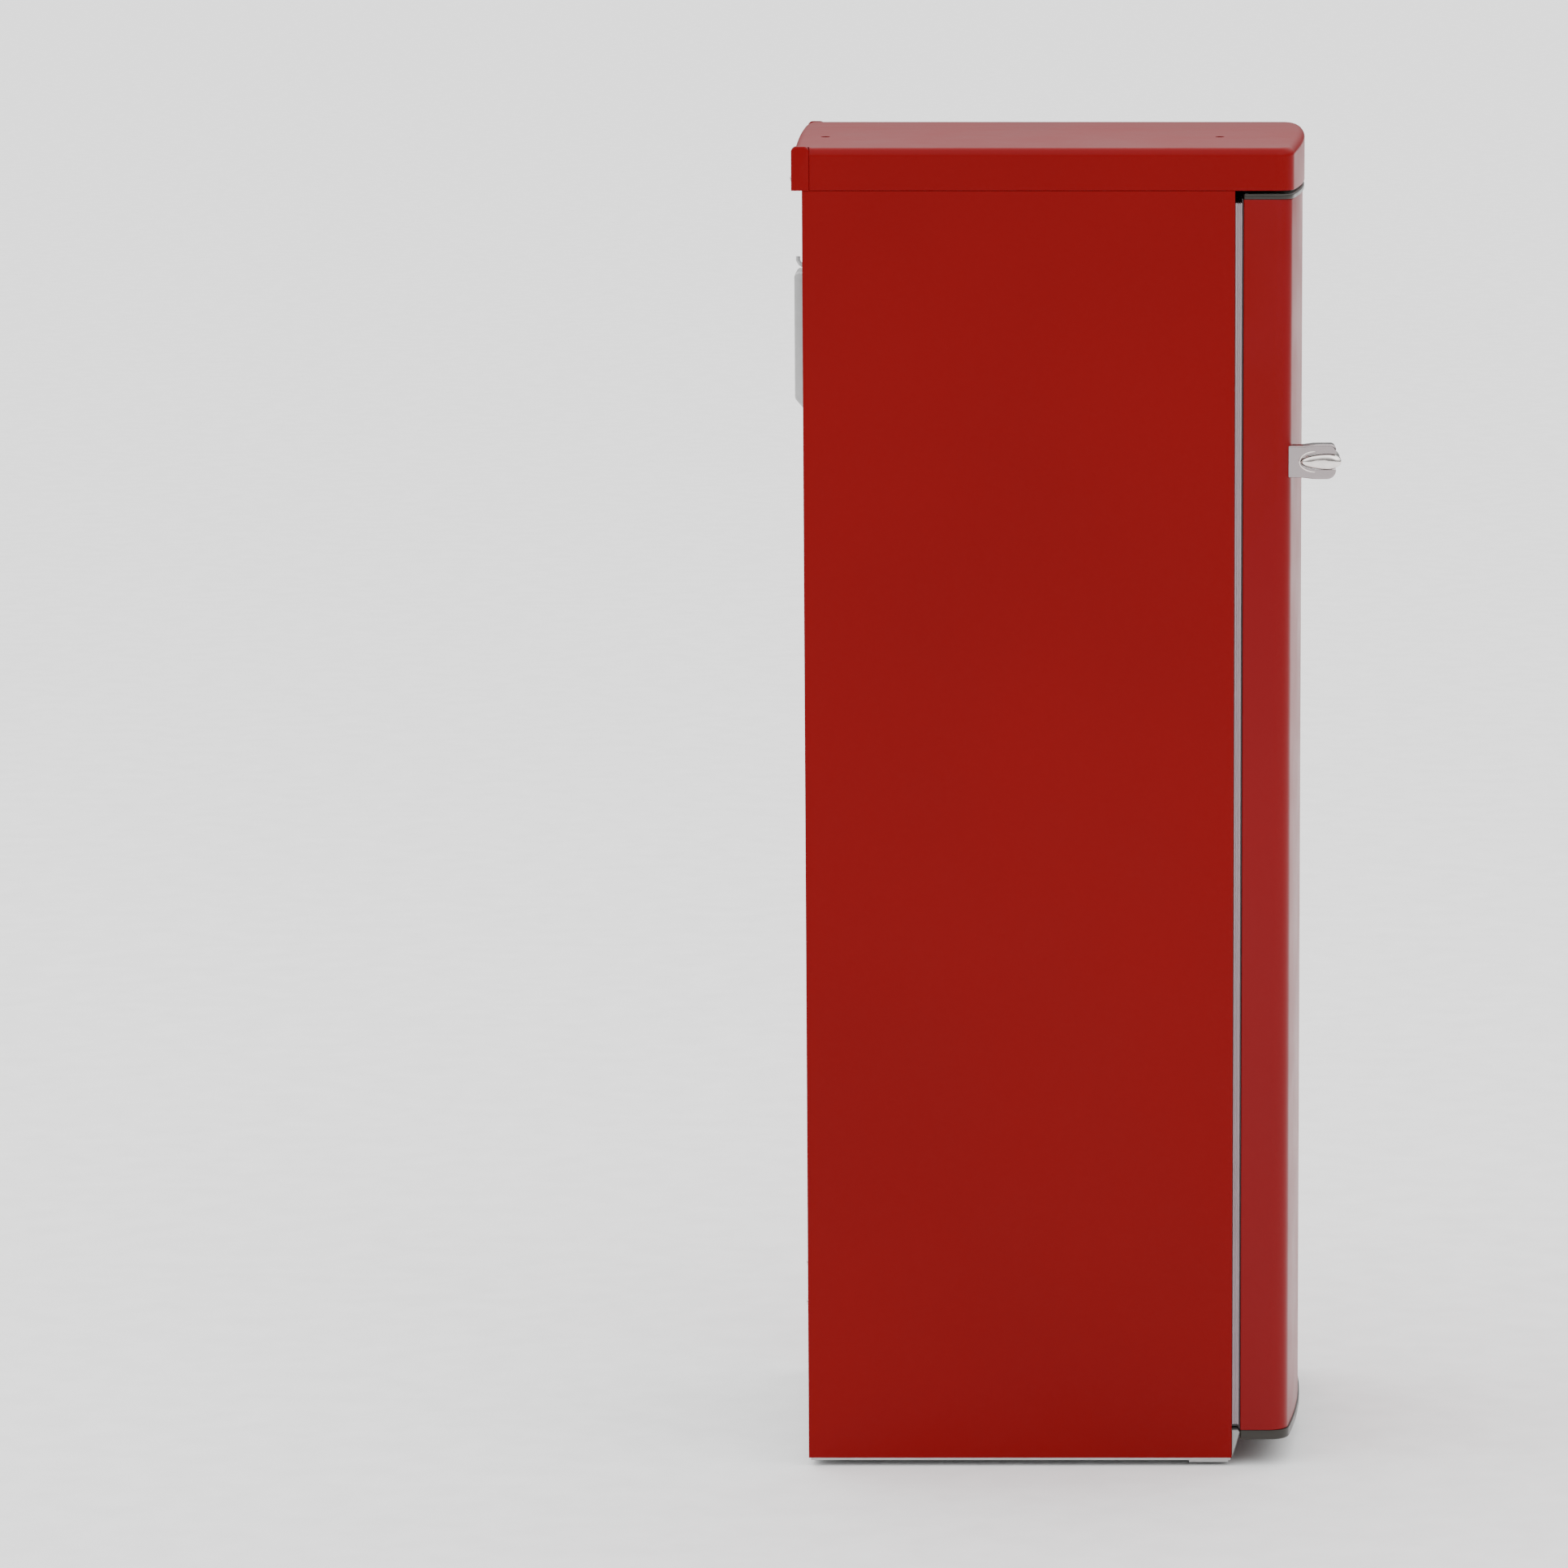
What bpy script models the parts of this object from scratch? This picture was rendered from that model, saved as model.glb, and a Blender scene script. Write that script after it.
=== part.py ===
"""Tall single-door refrigerator in retro style: hooded steel cabinet, bowed door
hinged on its right, glass shelves, drawers and door bins, as separate sub-parts.

The front faces -Y and the floor is z = 0. Sizes below are in millimetres. In each
helper a place is (x, s, z), where s runs forward from the cabinet's rear edge.
"""
import math

import bmesh
import bpy
from mathutils import Matrix, Vector

MM = 0.001
GAP = 0.3                 # clearance between pieces that touch
MID_S = 345.55            # s of the object's middle, which becomes y = 0
SEGMENTS = 32             # sides of a round piece
SMOOTH_DEG = 35.0

# cabinet
HALF_W = 299.0
CABINET_S = 566.0
SHEET = 1.2
SHELL_Z = (12.0, 1706.3)
LINER_X = 260.0
LINER_WALL = 2.0
LINER_Z = (94.0, 1664.0)
LINER_REAR_S = 45.0
STEP_S = 227.0            # the liner steps forward over the compressor bay
STEP_Z = 330.0
BAY_Z = 300.0

# door and its vertical hinge axis
DOOR_S = 577.4
DOOR_Z = (49.7, 1695.3)
CROWN_S = 662.0
CORNER_R = 26.0
BOW_SLOPE = 0.1477
HINGE_X = 278.0
HINGE_S = 597.0
PIN_R = 4.0
PIN_FIT = 0.08

# hood
HOOD_Z = (1706.6, 1761.7)
HOOD_REAR_S = -11.0
HOOD_CROWN_S = 664.5
HOOD_EDGE_R = 10.0
HOOD_WALL = 3.5
HOOD_RISE = 12.0           # height of the crowned top above its side edges
CROWN_AT = (50.0, 110.0, 170.0, 230.0, 299.0)
HOLE_R = 6.0
HOLE_X = 174.0
HOLE_S = (27.0, 548.0)

# fittings inside
SHELF_Z = (620.0, 930.0, 1240.0)
SHELF_S = (62.0, 438.0)
GLASS = 4.0
CRISPER_TOP_Z = 345.0
DRAWER_S = (232.0, 438.0)
DRAWER_Z = (94.3, 318.0)
DRAWER_W = 250.0
BIN_Z = (372.0, 720.0, 1040.0, 1380.0)
BIN_HEIGHT = (115.0, 80.0, 80.0, 70.0)
BIN_X = (-236.0, 222.0)
BIN_S = (459.0, 547.7)
BIN_WALL = 2.5
LID_AXIS = (541.0, 1456.5)

# feet, rollers, handle and controls
FOOT_LEFT = (-262.0, 549.0)
FOOT_RIGHT = (250.0, 520.0)
FOOT_STUD_R = 5.0
ROLLER_X = 235.0
ROLLER_S = 35.0
ROLLER_R = 12.0
ROLLER_PIN_R = 3.0
HANDLE_Z = 1350.0
HANDLE_X = (-288.0, -258.0)
KNOB_AT = (0.0, 1648.0)
KNOB_S = (420.3, 436.0)
SWITCH_AT = (193.0, 1650.0)

COLOURS = {
    "red_paint": ((0.30, 0.010, 0.008), 0.22, 0.0),
    "grey_steel": ((0.42, 0.42, 0.42), 0.45, 1.0),
    "dark_trim": ((0.10, 0.09, 0.085), 0.35, 0.6),
    "gasket": ((0.33, 0.29, 0.31), 0.7, 0.0),
    "white_plastic": ((0.80, 0.80, 0.78), 0.4, 0.0),
    "clear_plastic": ((0.75, 0.82, 0.84), 0.12, 0.0),
    "glass": ((0.72, 0.84, 0.80), 0.05, 0.0),
    "chrome": ((0.75, 0.75, 0.75), 0.08, 1.0),
    "black_paint": ((0.02, 0.02, 0.02), 0.5, 0.0),
    "black_plastic": ((0.03, 0.03, 0.03), 0.55, 0.0),
    "copper": ((0.60, 0.30, 0.16), 0.35, 1.0),
}


def place(x, s, z):
    return Vector((x * MM, (MID_S - s) * MM, z * MM))


def start():
    for ob in list(bpy.data.objects):
        bpy.data.objects.remove(ob, do_unlink=True)
    groups = []
    for name in ("refrigerator", "cutters"):
        group = bpy.data.collections.new(name)
        bpy.context.scene.collection.children.link(group)
        groups.append(group)
    return groups


PARTS, CUTTERS = start()


def paint(name, colour):
    rgb, roughness, metallic = COLOURS[colour]
    mat = bpy.data.materials.new(name)
    mat.use_nodes = True
    shader = mat.node_tree.nodes["Principled BSDF"]
    shader.inputs["Base Color"].default_value = (*rgb, 1.0)
    shader.inputs["Roughness"].default_value = roughness
    shader.inputs["Metallic"].default_value = metallic
    mat.diffuse_color = (*rgb, 1.0)
    return mat


def finish(name, bm, colour):
    """Turn a bmesh into a named part, or into a cutter when it has no colour."""
    bmesh.ops.recalc_face_normals(bm, faces=bm.faces)
    mesh = bpy.data.meshes.new(name)
    bm.to_mesh(mesh)
    bm.free()
    mesh.shade_smooth()
    mesh.set_sharp_from_angle(angle=math.radians(SMOOTH_DEG))
    ob = bpy.data.objects.new(name, mesh)
    if colour is None:
        CUTTERS.objects.link(ob)
        ob.hide_render = True
        ob.display_type = "WIRE"
    else:
        PARTS.objects.link(ob)
        mesh.materials.append(paint(name, colour))
    return ob


def block(name, x, s, z, colour=None):
    bm = bmesh.new()
    low, high = place(x[0], s[1], z[0]), place(x[1], s[0], z[1])
    size = high - low
    scale = Matrix.Diagonal((*size, 1.0))
    bmesh.ops.create_cube(bm, size=1.0, matrix=Matrix.Translation((low + high) / 2) @ scale)
    return finish(name, bm, colour)


def loft(name, rings, colour=None, closed=False):
    """Skin a run of equal rings; its ends are capped unless the run closes on itself."""
    bm = bmesh.new()
    rows = [[bm.verts.new(p) for p in ring] for ring in rings]
    count = len(rows[0])
    spans = len(rows) if closed else len(rows) - 1
    for i in range(spans):
        a, b = rows[i], rows[(i + 1) % len(rows)]
        for j in range(count):
            k = (j + 1) % count
            bm.faces.new((a[j], a[k], b[k], b[j]))
    if not closed:
        bm.faces.new(rows[0])
        bm.faces.new(rows[-1])
    return finish(name, bm, colour)


def prism_x(name, outline, x, colour=None):
    """Extrude an outline of (s, z) pairs between two x values."""
    return loft(name, [[place(v, s, z) for s, z in outline] for v in x], colour)


def rod(name, at, axis, radius, span, colour=None, sides=SEGMENTS):
    """Round bar along x, s or z; at gives the other two coordinates in x, s, z order."""
    return turned(name, at, axis, [(radius, span[0]), (radius, span[1])], colour, sides)


def turned(name, at, axis, profile, colour=None, sides=SEGMENTS):
    """Turn a profile of (radius, position) pairs about an axis along x, s or z."""
    rings = []
    for radius, along in profile:
        ring = []
        for i in range(sides):
            turn = 2 * math.pi * i / sides
            u, v = at[0] + radius * math.cos(turn), at[1] + radius * math.sin(turn)
            spot = {"x": (along, u, v), "s": (u, along, v), "z": (u, v, along)}[axis]
            ring.append(place(*spot))
        rings.append(ring)
    return loft(name, rings, colour)


def tube(name, path, radius, colour):
    """Round tube along a path of (x, s, z) places."""
    curve = bpy.data.curves.new(name, "CURVE")
    curve.dimensions = "3D"
    curve.bevel_depth = radius * MM
    curve.bevel_resolution = 3
    curve.use_fill_caps = True
    line = curve.splines.new("POLY")
    line.points.add(len(path) - 1)
    for spot, knot in zip(path, line.points):
        knot.co = (*place(*spot), 1.0)
    source = bpy.data.objects.new(name + "_path", curve)
    CUTTERS.objects.link(source)
    bm = bmesh.new()
    bm.from_mesh(source.to_mesh())
    bmesh.ops.remove_doubles(bm, verts=bm.verts, dist=0.00001)
    source.to_mesh_clear()
    bpy.data.objects.remove(source)
    return finish(name, bm, colour)


def combine(ob, operation, *tools):
    for tool in tools:
        mod = ob.modifiers.new(tool.name, "BOOLEAN")
        mod.operation = operation
        mod.solver = "EXACT"
        mod.object = tool
    return ob


def cut(ob, *tools):
    return combine(ob, "DIFFERENCE", *tools)


def weld(ob, *tools):
    return combine(ob, "UNION", *tools)


def soften(ob, width, segments=2):
    mod = ob.modifiers.new("edges", "BEVEL")
    mod.width = width * MM
    mod.segments = segments
    mod.limit_method = "ANGLE"
    mod.angle_limit = math.radians(40)
    return ob


def pivot(ob, x, s, z):
    """Put the object's origin on its joint axis."""
    spot = place(x, s, z)
    ob.data.transform(Matrix.Translation(-spot))
    ob.location = spot
    return ob


def bowed_outline(inset, crown, back, rear_r=0.0):
    """Plan view of the door or hood: straight back and sides, round corners, bowed front."""
    half, r = HALF_W - inset, CORNER_R - inset
    lean = math.atan(BOW_SLOPE)
    stop = math.pi / 2 - lean
    edge_x = half - r + r * math.cos(stop)
    edge_s = crown - inset - BOW_SLOPE * edge_x / 2
    side_s = edge_s - r * math.sin(stop)
    right = []
    if rear_r > inset:
        rr = rear_r - inset
        for i in range(5):
            turn = math.pi / 2 * (i / 4 - 1)
            right.append((half - rr + rr * math.cos(turn), back + inset + rr + rr * math.sin(turn)))
    else:
        right.append((half, back))
    for i in range(7):
        turn = stop * i / 6
        right.append((half - r + r * math.cos(turn), side_s + r * math.sin(turn)))
    for i in range(1, 10):
        x = edge_x * (1 - i / 10)
        right.append((x, crown - inset - BOW_SLOPE * x * x / (2 * edge_x)))
    middle = [(0.0, crown - inset)]
    return right + middle + [(-x, s) for x, s in reversed(right)]


def bowed_loft(name, levels, crown, back, colour=None, rear_r=0.0):
    """Stack bowed outlines given as (z, inset) pairs."""
    rings = []
    for z, inset in levels:
        outline = bowed_outline(inset, crown, back, rear_r)
        rings.append([place(x, s, z) for x, s in outline])
    return loft(name, rings, colour)


def crown_rise(x):
    """Height the hood's top gains at x: flat in the middle, then falling in planar strips."""
    knots = [(at, HOOD_RISE * (1 - (at / 300.0) ** 2)) for at in CROWN_AT]
    x = max(abs(x), CROWN_AT[0])
    for (x0, h0), (x1, h1) in zip(knots, knots[1:]):
        if x <= x1:
            return h0 + (h1 - h0) * (x - x0) / (x1 - x0)
    return knots[-1][1]


def crown_top(ob):
    """Bend everything above the straight walls to the crowned shape."""
    bm = bmesh.new()
    bm.from_mesh(ob.data)
    for at in CROWN_AT[:-1]:
        for x in (-at, at):
            bmesh.ops.bisect_plane(bm, geom=bm.verts[:] + bm.edges[:] + bm.faces[:], dist=1e-7,
                                   plane_co=(x * MM, 0, 0), plane_no=(1, 0, 0))
    for v in bm.verts:
        if v.co.z > 1745.0 * MM:
            v.co.z += crown_rise(v.co.x / MM) * MM
    bm.to_mesh(ob.data)
    bm.free()
    ob.data.set_sharp_from_angle(angle=math.radians(SMOOTH_DEG))


def mirrored(x, side):
    return tuple(sorted(side * v for v in x))


# cabinet ------------------------------------------------------------------

def cabinet_shell():
    shell = block("cabinet_shell", (-HALF_W, HALF_W), (0, CABINET_S), SHELL_Z, "red_paint")
    inner = HALF_W - SHEET
    hollow = block("shell_hollow", (-inner, inner), (-10, CABINET_S - SHEET),
                   (0, SHELL_Z[1] - SHEET))
    mouth_x = LINER_X + 6
    mouth = block("shell_mouth", (-mouth_x, mouth_x), (CABINET_S - 20, CABINET_S + 20),
                  (LINER_Z[0] - 6, LINER_Z[1] + 6))
    cut(shell, hollow, mouth)


def inner_liner():
    out, floor, top = LINER_WALL, LINER_Z[0], LINER_Z[1]
    front = CABINET_S - SHEET - GAP
    outer = [(LINER_REAR_S - out, STEP_Z - out), (STEP_S - out, STEP_Z - out),
             (STEP_S - out, floor - out), (front, floor - out), (front, top + out),
             (LINER_REAR_S - out, top + out)]
    inner = [(LINER_REAR_S, STEP_Z), (STEP_S, STEP_Z), (STEP_S, floor),
             (front + 40, floor), (front + 40, top), (LINER_REAR_S, top)]
    wide = LINER_X + out
    liner = prism_x("inner_liner", outer, (-wide, wide), "white_plastic")
    flange = block("liner_flange", (-wide - 14, wide + 14), (front - 1.6, front),
                   (floor - 16, top + 16))
    weld(liner, flange)
    cut(liner, prism_x("liner_hollow", inner, (-LINER_X, LINER_X)))
    for n, z in enumerate(SHELF_Z + (CRISPER_TOP_Z,)):
        for side in (-1, 1):
            ledge = block(f"ledge_{n}_{side}", mirrored((LINER_X - 10, LINER_X + 1), side),
                          SHELF_S, (z - 9, z - GAP))
            weld(liner, ledge)


def base_tray():
    inner = HALF_W - SHEET - GAP
    tray = block("base_tray", (-inner, inner), (3, CABINET_S - SHEET - GAP), (8.4, 30), "grey_steel")
    cut(tray, block("tray_hollow", (-inner + 1.5, inner - 1.5), (4.5, CABINET_S - 3.6), (10, 40)))
    for x, s in (FOOT_LEFT, FOOT_RIGHT):
        cut(tray, rod(f"tray_hole_{int(x)}", (x, s), "z", FOOT_STUD_R + 0.6, (0, 20)))
    for side in (-1, 1):
        slot_x = mirrored((ROLLER_X - 10.3, ROLLER_X + 10.3), side)
        cut(tray, block(f"tray_slot_{side}", slot_x, (15.7, 54.3), (0, 20)))
    rail = block("front_crossmember", (-292, 205), (509, 562), (4.2, 8.1), "grey_steel")
    cut(rail, rod("rail_hole", FOOT_LEFT, "z", FOOT_STUD_R + PIN_FIT, (0, 20)))


def rear_panels():
    inner = HALF_W - SHEET - GAP
    block("back_panel", (-inner, inner), (1.6, 2.8), (BAY_Z + 1, SHELL_Z[1] - SHEET - GAP), "grey_steel")
    cover = block("compressor_cover", (-inner, inner), (1.0, 2.4), (30.3, BAY_Z), "grey_steel")
    for n in range(7):
        z = 90 + 22 * n
        cut(cover, block(f"louvre_{n}", (-150, 150), (-5, 8), (z, z + 7)))
    cut(cover, block("inlet_opening", (-285.3, -234.7), (-5, 8), (39.7, 74.3)))
    for n, (x, z) in enumerate(((-284, 222), (-284, 276), (284, 222), (284, 276))):
        turned(f"cover_screw_{n + 1}", (x, z), "s",
               [(4.5, 0.7), (4.5, -1.2), (3.2, -2.6)], "chrome", 20)
    outline = [(1.3, 1411), (-12, 1427), (-13, 1430), (-13, 1590), (-9, 1595), (1.3, 1595)]
    soften(prism_x("rear_cover_box", outline, (-235, -150), "grey_steel"), 1.2)
    tube("rear_service_tube", [(-190, 1.3, 1601), (-190, -3, 1601), (-190, -7, 1603.5),
                               (-190, -9.5, 1608), (-190, -9.5, 1613)], 3.0, "grey_steel")


def compressor_bay():
    dome = [(58, 34), (78, 44), (84, 62), (84, 128), (78, 148), (62, 162), (36, 171), (12, 174)]
    can = turned("compressor", (90, 110), "z", dome, "black_paint")
    weld(can, block("compressor_feet", (5, 175), (60, 160), (10.3, 40)))
    tray = block("drip_tray", (20, 160), (50, 170), (176, 206), "black_plastic")
    cut(tray, block("tray_well", (22.5, 157.5), (52.5, 167.5), (178.5, 220)))
    path = []
    for n in range(5):
        z = 70 + 34 * n
        ends = (-250, -60) if n % 2 == 0 else (-60, -250)
        path += [(ends[0], 110, z), (ends[1], 110, z)]
        if n < 4:
            bulge = 8 if ends[1] > -100 else -8
            path.append((ends[1] + bulge, 110, z + 17))
    tube("condenser_coil", path, 2.5, "copper")
    inlet = block("power_inlet", (-285, -235), (0.4, 32), (40, 74), "black_plastic")
    cut(inlet, block("inlet_socket", (-277, -243), (-5, 18), (46, 68)))


def top_hood():
    arc = [math.radians(18 * i) for i in range(6)]
    levels = [(HOOD_Z[0], 0.0)]
    levels += [(HOOD_Z[1] - HOOD_EDGE_R * (1 - math.sin(a)), HOOD_EDGE_R * (1 - math.cos(a)))
               for a in arc]
    hood = bowed_loft("top_hood", levels, HOOD_CROWN_S, HOOD_REAR_S, "red_paint", 12.0)
    pocket = bowed_loft("hood_pocket", [(1700, HOOD_WALL), (HOOD_Z[1] - 4, HOOD_WALL)],
                        HOOD_CROWN_S, HOOD_REAR_S, None, 12.0)
    crown_top(hood)
    crown_top(pocket)
    cut(hood, pocket)
    for n, s in enumerate(HOLE_S):
        for x, word in ((-HOLE_X, "left"), (HOLE_X, "right")):
            cut(hood, rod(f"hood_hole_{word}_{n}", (x, s), "z", HOLE_R, (1740, 1790), None, 24))
    for side, word in ((-1, "left"), (1, "right")):
        notch = block(f"hood_notch_{word}", mirrored((286, 310), side), (-30, 10), (1700, 1790))
        cut(hood, notch)
        cap = block(f"hood_cap_{word}", mirrored((286.3, 300.0), side), (-14, 9.7),
                    (HOOD_Z[0], 1764.2), "red_paint")
        soften(cap, 4.0, 4)
        turned(f"cap_screw_{word}", (side * 293.0, 1722), "s",
               [(3.5, -14.3), (3.5, -15.2), (2.4, -15.9)], "chrome", 20)


def hinges():
    plate_levels = [(1706.9, 4.0), (1708.9, 4.0)]
    under = bowed_loft("hood_underplate", plate_levels, HOOD_CROWN_S, CABINET_S + 0.6, "white_plastic")
    cut(under, rod("underplate_hole", (HINGE_X, HINGE_S), "z", PIN_R + 2, (1700, 1715)))
    top = block("top_hinge_plate", (222, 293), (500, 612), (1709.2, 1712.2), "grey_steel")
    weld(top, block("hinge_pad", (222, 293), (500, 564), (1706.6, 1710)),
         rod("top_pin", (HINGE_X, HINGE_S), "z", PIN_R, (1696.2, 1711)))
    outline = [(481, 5.1), (569.3, 5.1), (569.3, 20), (612, 20), (612, 23), (566.3, 23),
               (566.3, 8.1), (481, 8.1)]
    low = prism_x("bottom_hinge_bracket", outline, (215, 294), "grey_steel")
    weld(low, turned("low_pin", (HINGE_X, HINGE_S), "z",
                     [(7, 21.5), (7, 36.0), (PIN_R, 36.0), (PIN_R, 47.8)]))
    cut(low, rod("low_foot_hole", FOOT_RIGHT, "z", FOOT_STUD_R + PIN_FIT, (0, 15)))
    gusset = [(566.3, 49), (574.5, 49), (577, 46), (567.3, 13), (566.3, 13)]
    prism_x("lower_gusset", gusset, (-297, -270), "grey_steel")


def feet_and_rollers():
    for (x, s), word in ((FOOT_LEFT, "left"), (FOOT_RIGHT, "right")):
        profile = [(8.5, 0), (11.5, 1.6), (12.5, 3.0), (12.5, 3.9), (FOOT_STUD_R, 3.9),
                   (FOOT_STUD_R, 26)]
        pivot(turned(f"levelling_foot_{word}", (x, s), "z", profile, "grey_steel"), x, s, 0)
    for side, word in ((-1, "left"), (1, "right")):
        x = side * ROLLER_X
        cheeks = (ROLLER_S - 19, ROLLER_S + 19)
        bracket = block(f"roller_bracket_{word}", (x - 10, x + 10), cheeks, (7, 27), "grey_steel")
        cut(bracket, block(f"roller_gap_{word}", (x - 8, x + 8), (0, 80), (0, 25)))
        weld(bracket, rod(f"roller_pin_{word}", (ROLLER_S, ROLLER_R), "x", ROLLER_PIN_R,
                          (x - 9, x + 9)))
        wheel = rod(f"rear_roller_{word}", (ROLLER_S, ROLLER_R), "x", ROLLER_R,
                    (x - 7.7, x + 7.7), "black_plastic")
        cut(wheel, rod(f"roller_bore_{word}", (ROLLER_S, ROLLER_R), "x", ROLLER_PIN_R + 0.07,
                       (x - 20, x + 20)))
        pivot(wheel, x, ROLLER_S, ROLLER_R)


# inside ---------------------------------------------------------------------

def shelves():
    half = LINER_X - 4
    for n, z in enumerate(SHELF_Z):
        block(f"shelf_glass_{n + 1}", (-half, half), SHELF_S, (z, z + GLASS), "glass")
        outline = [(438.3, z - 6), (445, z - 6), (447, z - 3), (447, z + 5), (445, z + 7), (438.3, z + 7)]
        prism_x(f"shelf_trim_{n + 1}", outline, (-half, half), "chrome")
    z = CRISPER_TOP_Z
    block("crisper_cover", (-half, half), (62, 446), (z, z + GLASS), "glass")


def crisper_drawer(word, x0):
    x1 = x0 + DRAWER_W
    (s0, s1), (z0, z1) = DRAWER_S, DRAWER_Z
    drawer = block(f"crisper_drawer_{word}", (x0, x1), (s0, s1), (z0, z1), "clear_plastic")
    cut(drawer, block(f"drawer_well_{word}", (x0 + BIN_WALL, x1 - BIN_WALL),
                      (s0 + BIN_WALL, s1 - BIN_WALL), (z0 + BIN_WALL, z1 + 20)))
    lip = block(f"drawer_lip_{word}", (x0 + 40, x1 - 40), (s1 - 1, s1 + 9), (z1 - 12, z1 - 6))
    pivot(weld(drawer, lip), (x0 + x1) / 2, s0, z0)


def controls():
    x, z = KNOB_AT
    housing = block("thermostat_housing", (-75, 75), (300, 420), (1633, LINER_Z[1] - GAP), "white_plastic")
    cut(housing, rod("knob_bore", KNOB_AT, "s", 3.08, (405, 430)))
    block("lamp_lens", (-55, 55), (312, 408), (1624, 1632.7), "clear_plastic")
    knob = turned("thermostat_knob", KNOB_AT, "s",
                  [(3.0, 409), (3.0, 420.4), (12.5, 420.4), (12.5, 428), (11, 430)], "white_plastic")
    weld(knob, block("knob_grip", (x - 2, x + 2), (429, KNOB_S[1]), (z - 10.5, z + 10.5)))
    pivot(knob, x, KNOB_S[0], z)
    sx, sz = SWITCH_AT
    body = block("switch_body", (sx - 13, sx + 13), (500, 546), (1640, LINER_Z[1] - GAP), "white_plastic")
    cut(body, rod("switch_bore", SWITCH_AT, "s", 4.08, (528, 560), None))
    plunger = turned("light_switch", SWITCH_AT, "s", [(4, 534), (4, 551.5), (3, 553)], "white_plastic")
    pivot(plunger, sx, 553, sz)
    cover = block("evaporator_cover", (-170, 170), (LINER_REAR_S + GAP, 57), (1290, 1600), "white_plastic")
    for n in range(5):
        cut(cover, block(f"vent_{n}", (-120, 120), (50, 70), (1340 + 50 * n, 1350 + 50 * n)))


# door -----------------------------------------------------------------------

def door_skin():
    skin = bowed_loft("door_skin", [(DOOR_Z[0], 0), (DOOR_Z[1], 0)], CROWN_S, DOOR_S, "red_paint")
    inner = bowed_loft("skin_hollow", [(DOOR_Z[0] - 10, SHEET), (DOOR_Z[1] + 10, SHEET)],
                       CROWN_S, DOOR_S + SHEET)
    mouth = block("skin_mouth", (-272, 250), (DOOR_S - 10, DOOR_S + 10), (0, 1800))
    return cut(skin, inner, mouth)


def door_trims():
    top = bowed_loft("door_top_trim", [(1695.6, 0), (1701, 0), (1702.5, 1.5)],
                     HOOD_CROWN_S - 0.5, DOOR_S, "dark_trim")
    cut(top, rod("top_bush", (HINGE_X, HINGE_S), "z", PIN_R + PIN_FIT, (1680, 1710)))
    low = bowed_loft("door_bottom_trim", [(36.4, 2.0), (38.4, 0), (49.4, 0)],
                     HOOD_CROWN_S - 0.5, DOOR_S, "dark_trim")
    cut(low, rod("low_bush", (HINGE_X, HINGE_S), "z", PIN_R + PIN_FIT, (30, 60)))
    return top, low


def door_liner():
    liner = block("door_liner", (-296, 296), (575.6, 577.1), (50, 1695), "white_plastic")
    raised = block("liner_raised", (-274, 258), (567, 576), (74, 1672))
    dyke = block("liner_dyke", (-250, 236), (548, 568), (104, 1632))
    behind = block("dyke_hollow", (-247, 233), (551, 600), (107, 1629))
    return cut(weld(liner, raised, dyke), behind)


def door_gasket():
    profile = [(0, 575.3), (0, 573), (2.2, 571.6), (0, 570.2), (0, 568.3), (1.5, 566.3),
               (14.5, 566.3), (16, 568.3), (16, 570.2), (13.8, 571.6), (16, 573), (16, 575.3)]
    corners = [(-292, 56, 1, 1), (276, 56, -1, 1), (276, 1690, -1, -1), (-292, 1690, 1, -1)]
    rings = [[place(x + ux * d, s, z + uz * d) for d, s in profile] for x, z, ux, uz in corners]
    return loft("door_gasket", rings, "gasket", closed=True)


def door_bin(n):
    z0 = BIN_Z[n]
    z1 = z0 + BIN_HEIGHT[n]
    tray = block(f"door_bin_{n + 1}", BIN_X, BIN_S, (z0, z1), "clear_plastic")
    cut(tray, block(f"bin_well_{n}", (BIN_X[0] + BIN_WALL, BIN_X[1] - BIN_WALL),
                    (BIN_S[0] + BIN_WALL, BIN_S[1] - BIN_WALL), (z0 + BIN_WALL, z1 + 20)))
    return tray


def dairy_lid():
    s, z = LID_AXIS
    ends = BIN_X
    lid = block("dairy_lid", ends, (459, s), (z - 6.0, z - 3.5), "clear_plastic")
    weld(lid, rod("lid_bead", (s, z - 2.5), "x", 3.0, ends, None, 16),
         block("lid_lip", ends, (459, 461.5), (z - 6.0, z + 4)))
    return pivot(lid, 0, s, z - 2.5)


def handle():
    z0 = HANDLE_Z
    corner = [(691 + 9 * math.sin(math.radians(a)), 14 + 9 * math.cos(math.radians(a)))
              for a in range(0, 91, 15)]
    half = [(630, 23)] + corner
    outline = [(s, z0 + h) for s, h in half] + [(s, z0 - h) for s, h in reversed(half)]
    base = prism_x("handle_base", outline, HANDLE_X, "chrome")
    soften(base, 1.6)
    cradle = [(680 - 27 * math.cos(math.radians(a)), 10.6 * math.sin(math.radians(a)))
              for a in range(0, 91, 10)] + [(720, 10.6)]
    slot = [(s, z0 + h) for s, h in cradle] + [(s, z0 - h) for s, h in reversed(cradle[1:])]
    cut(base, prism_x("cradle_slot", slot, (-320, -220)),
        bowed_loft("handle_seat", [(1300, -GAP), (1400, -GAP)], CROWN_S, DOOR_S))
    sections = [(-292, 690, 12, 7, -26), (-289, 690, 17, 10, -33), (-257, 690, 17, 10, -33),
                (-250, 690, 17, 10.5, -6), (-240, 690, 17, 12, 6), (-222, 688, 18, 13.5, 11),
                (-214, 686, 16, 11.5, 10)]
    rings = [lever_ring(z0, *section) for section in sections]
    return base, loft("handle_lever", rings, "chrome")


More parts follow.
